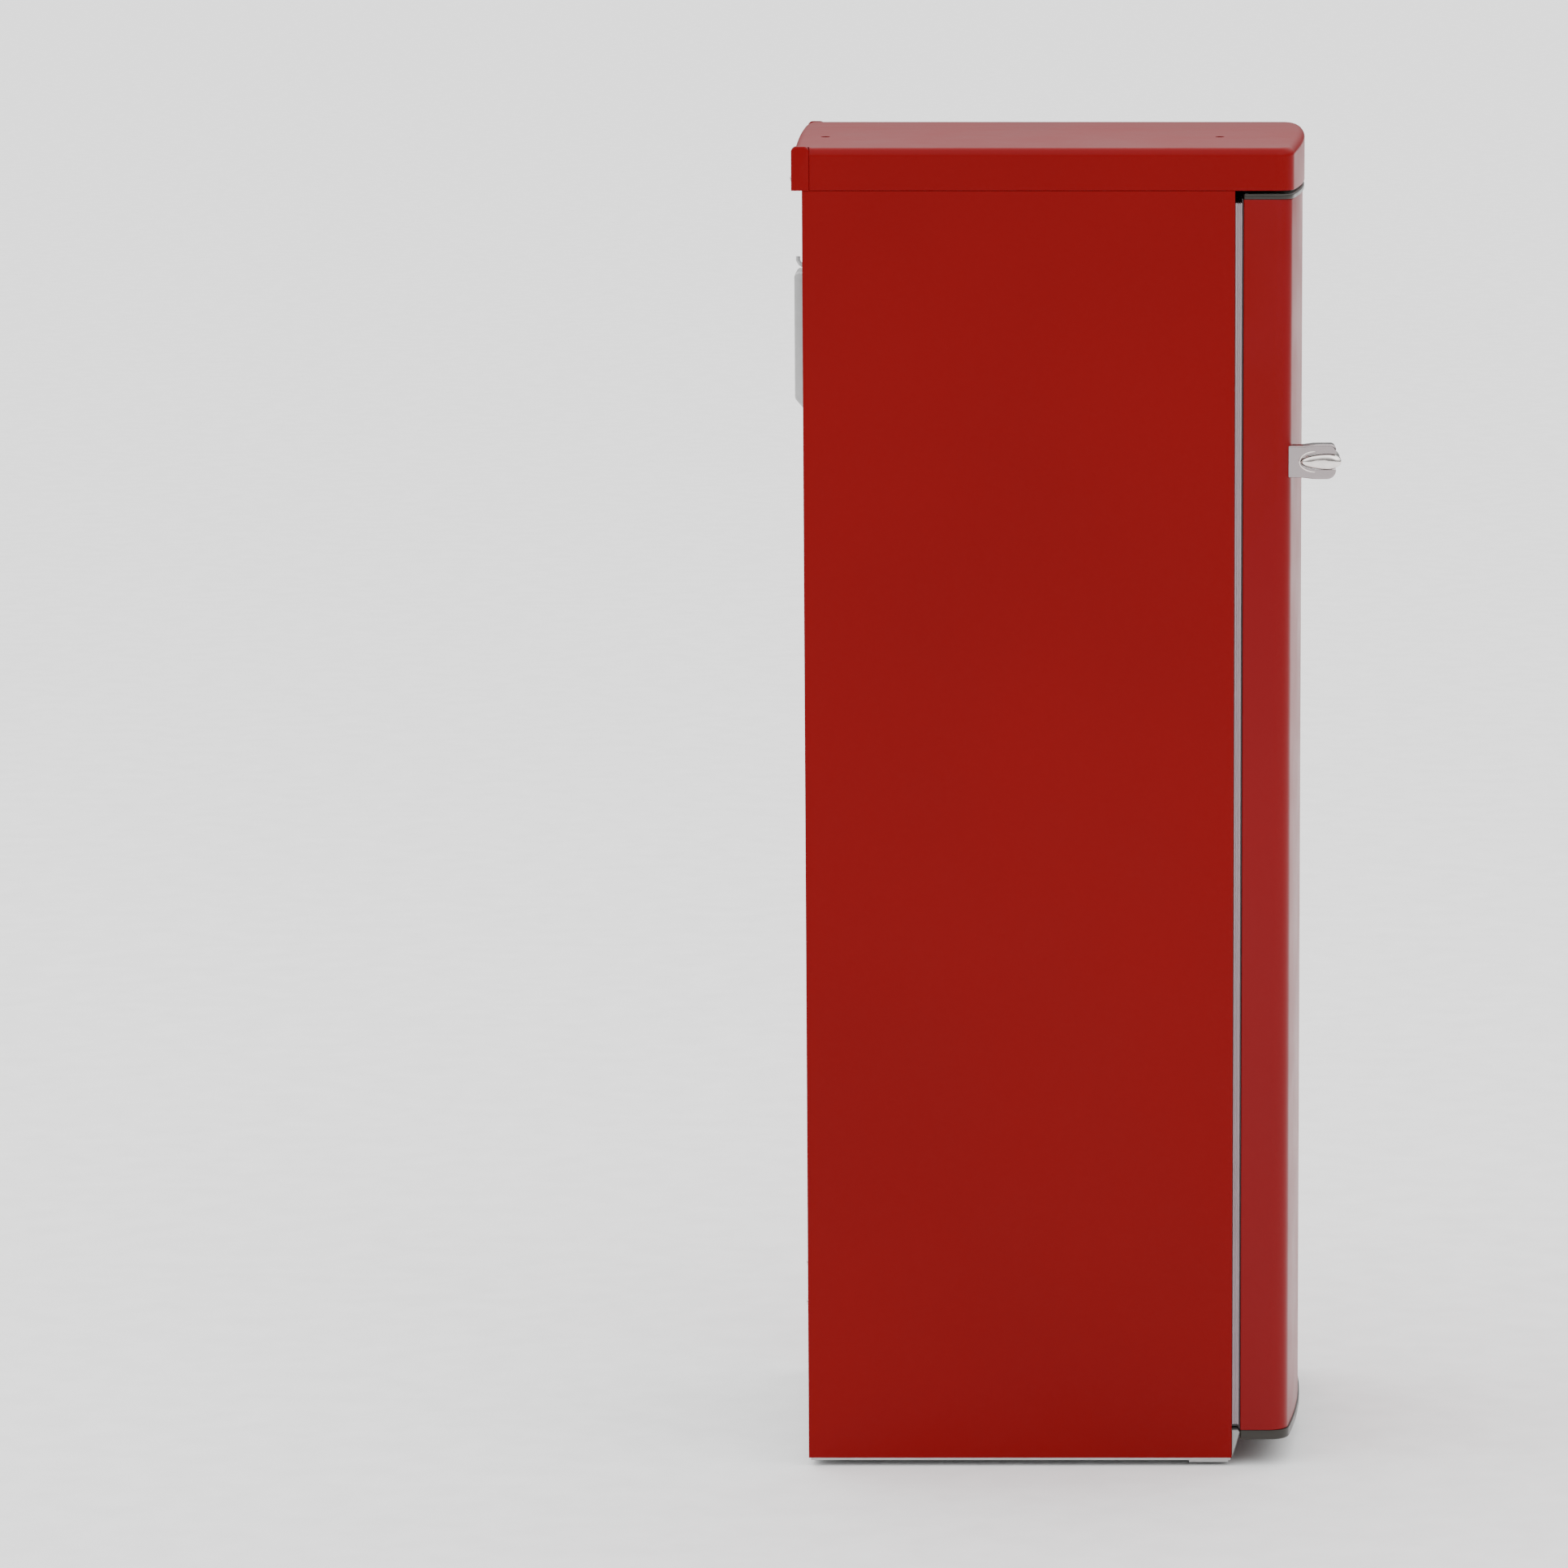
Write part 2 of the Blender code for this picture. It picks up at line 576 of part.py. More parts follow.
def lever_ring(z0, x, s, reach, half, back):
    """Section of the lever: round in front, full or hollowed behind."""
    steps = [math.radians(-90 + 15 * i) for i in range(13)]
    front = [place(x, s + reach * math.cos(a), z0 + half * math.sin(a)) for a in steps]
    inner = half - 2.5 if back > 0 else half
    rear = [place(x, s + back * math.cos(a), z0 + inner * math.sin(a)) for a in reversed(steps)]
    return front + rear[1:-1]


def door():
    axis = bpy.data.objects.new("door_axis", None)
    PARTS.objects.link(axis)
    axis.location = place(HINGE_X, HINGE_S, 0)
    hung = [door_skin(), *door_trims(), door_liner(), door_gasket(), *handle()]
    hung += [door_bin(n) for n in range(len(BIN_Z))]
    hung.append(dairy_lid())
    for ob in hung:
        ob.parent = axis
        ob.matrix_parent_inverse = Matrix.Translation(-axis.location)


cabinet_shell()
inner_liner()
base_tray()
rear_panels()
compressor_bay()
top_hood()
hinges()
feet_and_rollers()
shelves()
crisper_drawer("left", -253.0)
crisper_drawer("right", 3.0)
controls()
door()
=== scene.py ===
import math

import bmesh
import bpy
from mathutils import Matrix, Vector


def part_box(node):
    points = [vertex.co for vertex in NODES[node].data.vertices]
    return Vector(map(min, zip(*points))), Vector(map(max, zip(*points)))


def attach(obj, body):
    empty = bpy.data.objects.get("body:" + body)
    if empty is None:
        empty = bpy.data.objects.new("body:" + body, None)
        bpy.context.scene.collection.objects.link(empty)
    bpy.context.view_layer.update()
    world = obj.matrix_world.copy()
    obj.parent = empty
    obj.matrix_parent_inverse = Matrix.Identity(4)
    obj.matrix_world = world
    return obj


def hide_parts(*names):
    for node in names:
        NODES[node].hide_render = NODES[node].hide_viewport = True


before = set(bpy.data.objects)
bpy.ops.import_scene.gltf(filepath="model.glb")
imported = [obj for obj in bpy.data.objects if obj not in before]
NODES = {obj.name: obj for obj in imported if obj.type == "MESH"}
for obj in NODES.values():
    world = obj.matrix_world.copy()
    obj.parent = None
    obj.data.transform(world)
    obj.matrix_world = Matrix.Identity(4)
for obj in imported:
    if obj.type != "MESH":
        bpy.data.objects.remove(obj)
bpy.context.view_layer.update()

MM = 0.001
REAR_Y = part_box("cabinet_shell")[1].y       # s, in mm, runs forward from here
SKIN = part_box("door_skin")
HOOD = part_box("top_hood")
CORNER_R = 26.0                             # of the hood and door in plan
BOW_SLOPE = 0.1477                          # of the bowed front where it meets the corners
CROWN = 11.66                               # rise of the hood's top above its side edges
CROWN_PEAK, CROWN_HALF = 12.0, 300.0        # height and half width of the crown's parabola
HOOD_WALL, HOOD_ROOF = 3.5, 4.0             # sheet thickness at the sides and the top
HOOD_REAR_R = 12.0
HOOD_HOLE_X, HOOD_HOLE_S, HOOD_HOLE_R = 174.0, (27.0, 548.0), 6.0
NOTCH_X, NOTCH_S = (286.0, 320.0), (-40, 9.9)
DOOR_WALL = 1.3
DOOR_REAR_R = 2.0
HINGE_AT = (278.0, 597.0)                   # x and s of the hinge pins
HINGE_BORE_R = 4.08
ROLLER_BORE_R = 3.07
CAMERA_AT = (-9.914, -0.031, 2.337)         # metres
CAMERA_TILT, CAMERA_LENS, CAMERA_SHIFT = 8.361, 168.9, -0.1952
CARVED_SMOOTH = 32.0                        # degrees: a carved edge is sharp beyond this


def place(x, s, z):
    """World point, in metres, of a place given in mm."""
    return Vector((x * MM, REAR_Y - s * MM, z * MM))


def depth(y):
    """Distance in mm forward from the cabinet's rear edge."""
    return (REAR_Y - y) / MM


# materials ------------------------------------------------------------------

class Look:
    """A Principled material with its node tree at hand."""

    def __init__(self, name, colour, roughness, metallic=0.0, **extra):
        self.mat = bpy.data.materials.new(name)
        self.mat.use_nodes = True
        self.tree = self.mat.node_tree
        self.shader = self.tree.nodes["Principled BSDF"]
        self.colour = colour
        self.set("Base Color", (*colour, 1.0))
        self.set("Roughness", roughness)
        self.set("Metallic", metallic)
        for key, value in extra.items():
            self.set(key.replace("_", " "), value)
        self.mat.diffuse_color = (*colour, 1.0)
        self.coords = self.tree.nodes.new("ShaderNodeTexCoord").outputs["Object"]

    def set(self, socket, value):
        self.shader.inputs[socket].default_value = value

    def node(self, kind, **values):
        made = self.tree.nodes.new(kind)
        for key, value in values.items():
            if hasattr(made, key):
                setattr(made, key, value)
            else:
                made.inputs[key.replace("_", " ")].default_value = value
        return made

    def link(self, a, b):
        self.tree.links.new(a, b)

    def noise(self, scale, detail=3.0, stretch=(1, 1, 1)):
        spread = self.node("ShaderNodeMapping")
        spread.inputs["Scale"].default_value = stretch
        self.link(self.coords, spread.inputs["Vector"])
        made = self.node("ShaderNodeTexNoise", Scale=scale, Detail=detail)
        self.link(spread.outputs["Vector"], made.inputs["Vector"])
        return made.outputs["Fac"]

    def spread_value(self, source, socket, low, high):
        scale = self.node("ShaderNodeMapRange")
        scale.inputs["From Min"].default_value = 0.3
        scale.inputs["From Max"].default_value = 0.7
        scale.inputs["To Min"].default_value = low
        scale.inputs["To Max"].default_value = high
        self.link(source, scale.inputs["Value"])
        self.link(scale.outputs["Result"], self.shader.inputs[socket])

    def mottle(self, source, amount):
        """Vary the base colour a little, darker and lighter, about its own value."""
        ramp = self.node("ShaderNodeValToRGB")
        ramp.color_ramp.elements[0].position = 0.32
        ramp.color_ramp.elements[1].position = 0.68
        for end, factor in ((0, 1 - amount), (1, 1 + amount)):
            shade = [min(1.0, c * factor) for c in self.colour]
            ramp.color_ramp.elements[end].color = (*shade, 1.0)
        self.link(source, ramp.inputs["Fac"])
        self.link(ramp.outputs["Color"], self.shader.inputs["Base Color"])

    def bump(self, source, strength, distance=0.0004):
        made = self.node("ShaderNodeBump", Strength=strength, Distance=distance)
        self.link(source, made.inputs["Height"])
        self.link(made.outputs["Normal"], self.shader.inputs["Normal"])


def enamel(name, colour, grain=520.0, gloss=0.07):
    look = Look(name, colour, 0.35, Specular_IOR_Level=gloss)
    look.mottle(look.noise(2.2, 2.0), 0.03)
    look.spread_value(look.noise(9.0, 4.0), "Roughness", 0.29, 0.37)
    look.bump(look.noise(grain, 1.0), 0.04, 0.0002)
    return look.mat


def sheet_steel(name, colour, roughness=0.42):
    look = Look(name, colour, roughness, 0.7)
    cells = look.node("ShaderNodeTexVoronoi", Scale=95.0)
    look.link(look.coords, cells.inputs["Vector"])
    look.mottle(look.noise(70.0, 2.0), 0.045)
    look.spread_value(cells.outputs["Distance"], "Roughness", roughness - 0.07, roughness + 0.09)
    look.bump(look.noise(260.0, 2.0), 0.05)
    return look.mat


def brushed(name, colour, roughness, metallic, stretch):
    look = Look(name, colour, roughness, metallic)
    grain = look.noise(120.0, 4.0, stretch)
    look.mottle(grain, 0.10)
    look.spread_value(grain, "Roughness", roughness - 0.07, roughness + 0.08)
    look.bump(grain, 0.06, 0.0002)
    return look.mat


def moulded(name, colour, roughness, grain=700.0, depth_of_grain=0.12):
    look = Look(name, colour, roughness, Specular_IOR_Level=0.45)
    look.mottle(look.noise(14.0, 3.0), 0.03)
    look.spread_value(look.noise(40.0, 4.0), "Roughness", roughness - 0.05, roughness + 0.06)
    look.bump(look.noise(grain, 2.0), depth_of_grain, 0.0002)
    return look.mat


def clear(name, colour, roughness, ior):
    look = Look(name, colour, roughness, IOR=ior, Transmission_Weight=1.0)
    look.mottle(look.noise(6.0, 2.0), 0.02)
    look.spread_value(look.noise(55.0, 3.0), "Roughness", roughness, roughness + 0.05)
    look.bump(look.noise(18.0, 1.0), 0.03, 0.0002)
    return look.mat


WHITE = (0.78, 0.78, 0.76)
# painted shade: a dark colour that stands in for the shadow in the gap between door and cabinet
PAINTED_GAP_SHADE = (0.05, 0.045, 0.048)
FLANGE_X = (0.2935, 0.2945)                 # metres to either side, where white turns to the painted gap shade


def liner_with_painted_gap_shade():
    """White moulding whose flange, beyond the seal, is painted dark as the shade of the door gap.
    """
    look = Look("door_liner_moulding", WHITE, 0.36, Specular_IOR_Level=0.45)
    look.bump(look.noise(600.0, 2.0), 0.12, 0.0002)
    look.spread_value(look.noise(40.0, 4.0), "Roughness", 0.31, 0.42)
    split = look.node("ShaderNodeSeparateXYZ")
    look.link(look.coords, split.inputs["Vector"])
    size = look.node("ShaderNodeMath", operation="ABSOLUTE")
    look.link(split.outputs["X"], size.inputs[0])
    fade = look.node("ShaderNodeMapRange")
    fade.inputs["From Min"].default_value = FLANGE_X[0]
    fade.inputs["From Max"].default_value = FLANGE_X[1]
    look.link(size.outputs["Value"], fade.inputs["Value"])
    # beyond FLANGE_X the white is swapped for the painted gap shade
    mix = look.node("ShaderNodeMix", data_type="RGBA")
    mix.inputs[6].default_value = (*WHITE, 1.0)
    mix.inputs[7].default_value = (*PAINTED_GAP_SHADE, 1.0)
    look.link(fade.outputs["Result"], mix.inputs[0])
    look.link(mix.outputs[2], look.shader.inputs["Base Color"])
    return look.mat


RED = (0.178, 0.0030, 0.0045)
MATERIALS = {
    "red": enamel("red_enamel", RED),
    "hood_red": enamel("hood_enamel", RED, 700.0),
    "door_red": enamel("door_enamel", RED, 520.0, 0.14),
    "steel": sheet_steel("zinc_sheet", (0.46, 0.46, 0.46)),
    "panel": sheet_steel("rear_panel_sheet", (0.58, 0.58, 0.58), 0.5),
    "trim": moulded("dark_trim", (0.015, 0.012, 0.008), 0.32, 500.0, 0.08),
    "gasket": moulded("gasket_rubber", (0.46, 0.38, 0.41), 0.5, 300.0, 0.2),
    "white": moulded("white_moulding", WHITE, 0.36),
    "chrome": brushed("chrome", (0.82, 0.76, 0.73), 0.13, 1.0, (1, 1, 1)),
    # darker copy of the chrome: painted shade that stands in for the darker reflections on the
    # handle fork
    "fork_chrome_painted_shade": brushed("fork_chrome_painted_shade", (0.34, 0.295, 0.30), 0.15, 1.0, (1, 1, 1)),
    "liner": liner_with_painted_gap_shade(),
    "plain_chrome": brushed("shelf_chrome", (0.74, 0.74, 0.75), 0.2, 1.0, (1, 30, 30)),
    "black": moulded("black_enamel", (0.018, 0.018, 0.019), 0.38, 420.0, 0.2),
    "black_plastic": moulded("black_moulding", (0.028, 0.028, 0.029), 0.55, 500.0, 0.3),
    "grey_plastic": moulded("grey_moulding", (0.27, 0.27, 0.265), 0.5, 500.0, 0.2),
    "clear": clear("clear_moulding", (0.90, 0.95, 0.97), 0.06, 1.46),
    "glass": clear("shelf_glass", (0.86, 0.95, 0.92), 0.02, 1.5),
    "lens": moulded("lamp_lens", (0.88, 0.87, 0.82), 0.25),
    "copper": brushed("copper_tube", (0.62, 0.30, 0.17), 0.3, 1.0, (1, 1, 1)),
    "floor": moulded("pale_floor", (0.93, 0.93, 0.93), 0.75, 60.0, 0.02),
}

NODE_LOOK = {
    "cabinet_shell": "red", "back_panel": "panel", "base_tray": "steel",
    "front_crossmember": "steel", "inner_liner": "white", "hood_underplate": "white",
    "top_hinge_plate": "steel", "bottom_hinge_bracket": "steel", "lower_gusset": "grey_plastic",
    "rear_service_tube": "steel", "compressor_cover": "panel", "compressor": "black",
    "drip_tray": "black_plastic", "condenser_coil": "copper", "power_inlet": "black_plastic",
    "roller_bracket_left": "steel", "roller_bracket_right": "steel", "crisper_cover": "glass",
    "thermostat_housing": "white", "lamp_lens": "lens", "switch_body": "white",
    "evaporator_cover": "white", "door_liner": "liner", "light_switch": "white",
    "dairy_lid": "clear", "crisper_drawer_left": "clear", "crisper_drawer_right": "clear",
    "shelf_glass_1": "glass", "shelf_glass_2": "glass", "shelf_glass_3": "glass",
    "shelf_trim_1": "plain_chrome", "shelf_trim_2": "plain_chrome", "shelf_trim_3": "plain_chrome",
    "door_bin_1": "clear", "door_bin_2": "clear", "door_bin_3": "clear", "door_bin_4": "clear",
}
# width in mm of the rounded edge that each plain CAD solid gets
EDGE = {"inner_liner": 0.8, "thermostat_housing": 2.5, "switch_body": 1.5, "lamp_lens": 2.0,
        "evaporator_cover": 2.0, "door_liner": 1.0, "crisper_cover": 1.2, "compressor": 2.0,
        "bottom_hinge_bracket": 0.8, "top_hinge_plate": 0.6, "lower_gusset": 0.8,
        "door_bin_1": 0.7, "door_bin_2": 0.7, "door_bin_3": 0.7, "door_bin_4": 0.7,
        "crisper_drawer_left": 0.7, "crisper_drawer_right": 0.7, "dairy_lid": 0.5,
        "shelf_glass_1": 0.6, "shelf_glass_2": 0.6, "shelf_glass_3": 0.6,
        "shelf_trim_1": 0.7, "shelf_trim_2": 0.7, "shelf_trim_3": 0.7, "light_switch": 0.6,
        "power_inlet": 0.8, "drip_tray": 0.6, "base_tray": 0.3, "front_crossmember": 0.6,
        "roller_bracket_left": 0.4, "roller_bracket_right": 0.4}


# mesh helpers -----------------------------------------------------------------

def piece(name, bm, look, body, replaces=(), smooth_deg=40.0):
    """Turn a bmesh into a piece that rides a body and stands for the CAD nodes it names."""
    bmesh.ops.recalc_face_normals(bm, faces=bm.faces)
    mesh = bpy.data.meshes.new(name)
    bm.to_mesh(mesh)
    bm.free()
    mesh.shade_smooth()
    mesh.set_sharp_from_angle(angle=math.radians(smooth_deg))
    ob = bpy.data.objects.new(name, mesh)
    bpy.context.scene.collection.objects.link(ob)
    mesh.materials.append(MATERIALS[look])
    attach(ob, body)
    if replaces:
        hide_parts(*replaces)
    return ob


def skin_rings(bm, rings, closed=False):
    """Skin a run of equal rings, capped at its ends or closed into a loop."""
    rows = [[bm.verts.new(p) for p in ring] for ring in rings]
    count = len(rows[0])
    for i in range(len(rows) if closed else len(rows) - 1):
        a, b = rows[i], rows[(i + 1) % len(rows)]
        for j in range(count):
            k = (j + 1) % count
            bm.faces.new((a[j], a[k], b[k], b[j]))
    if not closed:
        bm.faces.new(rows[0])
        bm.faces.new(rows[-1])


def ring_piece(name, rings, look, body, replaces=(), smooth_deg=40.0, closed=False):
    bm = bmesh.new()
    skin_rings(bm, rings, closed)
    return piece(name, bm, look, body, replaces, smooth_deg)


def turned_rings(at, axis, profile, sides):
    """Circles about an axis, one for each (radius, distance along) of the profile."""
    rings = []
    for radius, along in profile:
        ring = []
        for i in range(sides):
            turn = 2 * math.pi * i / sides
            u, v = at[0] + radius * math.cos(turn), at[1] + radius * math.sin(turn)
            ring.append(place(*{"x": (along, u, v), "s": (u, along, v), "z": (u, v, along)}[axis]))
        rings.append(ring)
    return rings


def arc(centre, radius, start, stop, steps):
    turns = [math.radians(start + (stop - start) * i / steps) for i in range(steps + 1)]
    return [(centre[0] + radius * math.cos(t), centre[1] + radius * math.sin(t)) for t in turns]


def bowed(inset, crown, back, half, rear_r, fine=24):
    """Plan outline of hood or door: straight back, round corners, bowed front."""
    side, r = half - inset, CORNER_R - inset
    lean = math.atan(BOW_SLOPE)
    stop = math.pi / 2 - lean
    edge_x = side - r + r * math.cos(stop)
    edge_s = crown - inset - BOW_SLOPE * edge_x / 2
    side_s = edge_s - r * math.sin(stop)
    rr = max(rear_r - inset, 0.05)
    right = arc((side - rr, back + inset + rr), rr, -90, 0, 5)
    right += [(side, side_s - 14.0)]
    right += arc((side - r, side_s), r, 0, math.degrees(stop), 12)
    for i in range(1, fine):
        x = edge_x * (1 - i / fine)
        right.append((x, crown - inset - BOW_SLOPE * x * x / (2 * edge_x)))
    return right + [(0.0, crown - inset)] + [(-x, s) for x, s in reversed(right)]


def bowed_rings(levels, crown, back, half, rear_r=DOOR_REAR_R):
    return [[place(x, s, z) for x, s in bowed(inset, crown, back, half, rear_r)]
            for z, inset in levels]


def rounded_levels(low, high, edge_low, edge_high, steps):
    """(z, inset) pairs of an upright wall with rounded lower and upper edges."""
    turns = [math.pi / 2 * i / steps for i in range(steps + 1)]
    lower = [(low + edge_low * (1 - math.cos(t)), edge_low * (1 - math.sin(t))) for t in turns]
    upper = [(high - edge_high * (1 - math.sin(t)), edge_high * (1 - math.cos(t))) for t in turns]
    return lower + upper


def box_tool(name, x, s, z):
    """Block that spans the (low, high) ranges x, s and z."""
    a, b = place(x[0], s[1], z[0]), place(x[1], s[0], z[1])
    bm = bmesh.new()
    bmesh.ops.create_cube(bm, size=1.0, matrix=(Matrix.Translation((a + b) / 2)
                                                @ Matrix.Diagonal((*(b - a), 1.0))))
    return tool(name, bm)


def ring_tool(name, rings):
    bm = bmesh.new()
    skin_rings(bm, rings)
    return tool(name, bm)


def tool(name, bm):
    """Plain object for carve, which removes it after use."""
    bmesh.ops.recalc_face_normals(bm, faces=bm.faces)
    mesh = bpy.data.meshes.new(name)
    bm.to_mesh(mesh)
    bm.free()
    ob = bpy.data.objects.new(name, mesh)
    bpy.context.scene.collection.objects.link(ob)
    return ob


def carve(ob, tools, operation="DIFFERENCE"):
    """Apply Boolean tools to a piece's mesh and remove them."""
    for cutter in tools:
        mod = ob.modifiers.new(cutter.name, "BOOLEAN")
        mod.operation, mod.solver, mod.object = operation, "EXACT", cutter
    bpy.context.view_layer.update()
    shape = ob.evaluated_get(bpy.context.evaluated_depsgraph_get())
    mesh = bpy.data.meshes.new_from_object(shape)
    ob.modifiers.clear()
    ob.data = mesh
    for cutter in tools:
        bpy.data.objects.remove(cutter)
    mesh.shade_smooth()
    mesh.set_sharp_from_angle(angle=math.radians(CARVED_SMOOTH))


def even_normals(ob):
    """Keep large flat faces flat beside their rounded edges."""
    mod = ob.modifiers.new("normals", "WEIGHTED_NORMAL")
    mod.keep_sharp = True


def soften(ob, width, segments, degrees=35):
    """Round the edges that turn by more than the given angle; width is in mm."""
    join = ob.modifiers.new("joined", "WELD")
    join.merge_threshold = 0.00001
    mod = ob.modifiers.new("edges", "BEVEL")
    mod.width = width * MM
    mod.segments = segments
    mod.limit_method = "ANGLE"
    mod.angle_limit = math.radians(degrees)
    mod.harden_normals = True


# camera, light and floor ------------------------------------------------------

def camera():
    """Camera fitted to the photo."""
    data = bpy.data.cameras.new("photo_camera")
    data.sensor_width = 36.0
    data.lens = CAMERA_LENS
    data.shift_x = CAMERA_SHIFT
    data.clip_end = 200.0
    ob = bpy.data.objects.new("photo_camera", data)
    bpy.context.scene.collection.objects.link(ob)
    ob.location = CAMERA_AT
    tilt = math.radians(CAMERA_TILT)
    aim = Vector((math.cos(tilt), 0.0, -math.sin(tilt)))
    ob.rotation_mode = "QUATERNION"
    ob.rotation_quaternion = aim.to_track_quat("-Z", "Y")
    bpy.context.scene.camera = ob


def light(name, spot, target, size, power):
    data = bpy.data.lights.new(name, "AREA")
    data.shape = "RECTANGLE"
    data.size, data.size_y = size
    data.energy = power
    ob = bpy.data.objects.new(name, data)
    bpy.context.scene.collection.objects.link(ob)
    ob.location = spot
    ob.rotation_mode = "QUATERNION"
    ob.rotation_quaternion = (Vector(target) - Vector(spot)).to_track_quat("-Z", "Y")


def studio():
    """White sky that brightens upward, two wide lamps and a pale floor."""
    world = bpy.data.worlds.new("studio")
    bpy.context.scene.world = world
    world.use_nodes = True
    tree = world.node_tree
    coords = tree.nodes.new("ShaderNodeTexCoord")
    split = tree.nodes.new("ShaderNodeSeparateXYZ")
    sky = tree.nodes.new("ShaderNodeMapRange")
    sky.interpolation_type = "SMOOTHERSTEP"
    sky.inputs["From Min"].default_value = -0.05
    sky.inputs["From Max"].default_value = 0.75
    sky.inputs["To Min"].default_value = 0.2
    sky.inputs["To Max"].default_value = 2.45
    tree.nodes["Background"].inputs["Color"].default_value = (1.0, 1.0, 1.0, 1.0)
    tree.links.new(coords.outputs["Generated"], split.inputs["Vector"])
    tree.links.new(split.outputs["Z"], sky.inputs["Value"])
    tree.links.new(sky.outputs["Result"], tree.nodes["Background"].inputs["Strength"])
    light("key", (-4.5, -4.0, 5.5), (0, 0, 0.9), (4.0, 4.0), 45.0)
    light("fill", (3.5, 4.5, 4.5), (0, 0, 0.9), (4.0, 4.0), 25.0)
    bm = bmesh.new()
    bmesh.ops.create_grid(bm, x_segments=8, y_segments=8, size=60.0)
    mesh = bpy.data.meshes.new("floor")
    bm.to_mesh(mesh)
    bm.free()
    floor = bpy.data.objects.new("floor", mesh)
    mesh.materials.append(MATERIALS["floor"])
    bpy.context.scene.collection.objects.link(floor)


# pieces ----------------------------------------------------------------------

def crown_top(bm, above):
    """Raise what lies above the straight walls to a smoothly crowned top."""
    for i in range(-28, 29):
        bmesh.ops.bisect_plane(bm, geom=bm.verts[:] + bm.edges[:] + bm.faces[:], dist=1e-7,
                               plane_co=(i * 10.0 * MM, 0, 0), plane_no=(1, 0, 0))
    for v in bm.verts:
        if v.co.z > above * MM:
            rise = CROWN_PEAK * (1 - (v.co.x / (CROWN_HALF * MM)) ** 2)
            v.co.z += max(0.0, min(CROWN, rise)) * MM


def hood():
    """Hood with a crowned top, rounded edges and notched rear corners, and its two caps."""
    low = HOOD[0].z / MM
    high = HOOD[1].z / MM - CROWN
    half = HOOD[1].x / MM
    back, crown = depth(HOOD[1].y), depth(HOOD[0].y)
    bm = bmesh.new()
    levels = rounded_levels(low, high, 1.2, 11.0, 8)
    skin_rings(bm, bowed_rings(levels, crown, back, half, HOOD_REAR_R))
    crown_top(bm, high - 15)
    ob = piece("hood_shell", bm, "hood_red", "cabinet", ("top_hood",))
    pocket = bmesh.new()
    walls = [(low - 20, HOOD_WALL), (high - HOOD_ROOF, HOOD_WALL)]
    skin_rings(pocket, bowed_rings(walls, crown, back, half, HOOD_REAR_R))
    crown_top(pocket, high - 15)
    tools = [tool("hood_pocket", pocket)]
    for side in (-1, 1):
        for s in HOOD_HOLE_S:
            wall = [(HOOD_HOLE_R, high - 30), (HOOD_HOLE_R, high + 30)]
            rings = turned_rings((side * HOOD_HOLE_X, s), "z", wall, 48)
            tools.append(ring_tool(f"hood_hole_{side}_{int(s)}", rings))
    for side in (-1, 1):
        x = sorted(side * edge for edge in NOTCH_X)
        tools.append(box_tool(f"hood_notch_{side}", x, NOTCH_S, (low - 30, high + 30)))
    carve(ob, tools)
    even_normals(ob)
    for side, word in ((-1, "left"), (1, "right")):
        hood_cap(side, word)


def hood_cap(side, word):
    """Corner cap: a rounded block whose outer edges are softened."""
    low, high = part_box(f"hood_cap_{word}")
    x = (low.x / MM, high.x / MM)
    s = (depth(high.y), depth(low.y))
    z = (low.z / MM, high.z / MM)
    r, edge = 7.0, 2.2
    outline = [(s[1], z[0]), (s[1], z[1] - r)] + arc((s[1] - r, z[1] - r), r, 0, 90, 8)[1:]
    outline += arc((s[0] + r, z[1] - r), r, 90, 180, 8) + [(s[0], z[0])]
    middle = (s[0] + s[1]) / 2
    face, inner = x if side < 0 else reversed(x)
    rings = []
    for i in range(6):
        turn = math.pi / 2 * i / 5
        shrink = edge * (1 - math.sin(turn))
        across = face - side * edge * (1 - math.cos(turn))
        ring = []
        for ps, pz in outline:
            inward_s = shrink * max(-1.0, min(1.0, (ps - middle) / 3.0))
            inward_z = shrink if pz > z[1] - r - 1 else 0.0
            ring.append(place(across, ps - inward_s, pz - inward_z))
        rings.append(ring)
    rings.append([place(inner, ps, pz) for ps, pz in outline])
    ring_piece(f"corner_cap_{word}", rings, "hood_red", "cabinet", (f"hood_cap_{word}",), 50)


def cross_screw(name, at, front, back, radius, node):
    """Domed screw head seen from behind, with a cross recess."""
    steps = [math.radians(a) for a in (0, 20, 40, 60, 78)]
    span = back - front
    profile = [(radius, back), (radius, front + span * 0.75)]
    profile += [(radius * math.cos(t), front + span * 0.7 * (1 - math.sin(t))) for t in steps]
    ob = ring_piece(name, turned_rings(at, "s", profile, 28), "chrome", "cabinet", (node,), 35)
    tools = []
    for wide, tall in ((0.62, 0.13), (0.13, 0.62)):
        tools.append(box_tool(f"{name}_slot_{len(tools)}",
                              (at[0] - radius * wide, at[0] + radius * wide),
                              (front - 2, front + span * 0.45),
                              (at[1] - radius * tall, at[1] + radius * tall)))
    carve(ob, tools)


def screws():
    """A cross-recessed head in place of every small screw."""
    for node in [n for n in NODES if "_screw_" in n]:
        low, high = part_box(node)
        middle = (low + high) / 2
        cross_screw(f"{node}_head", (middle.x / MM, middle.z / MM), depth(high.y), depth(low.y),
                    (high.x - low.x) / 2 / MM, node)


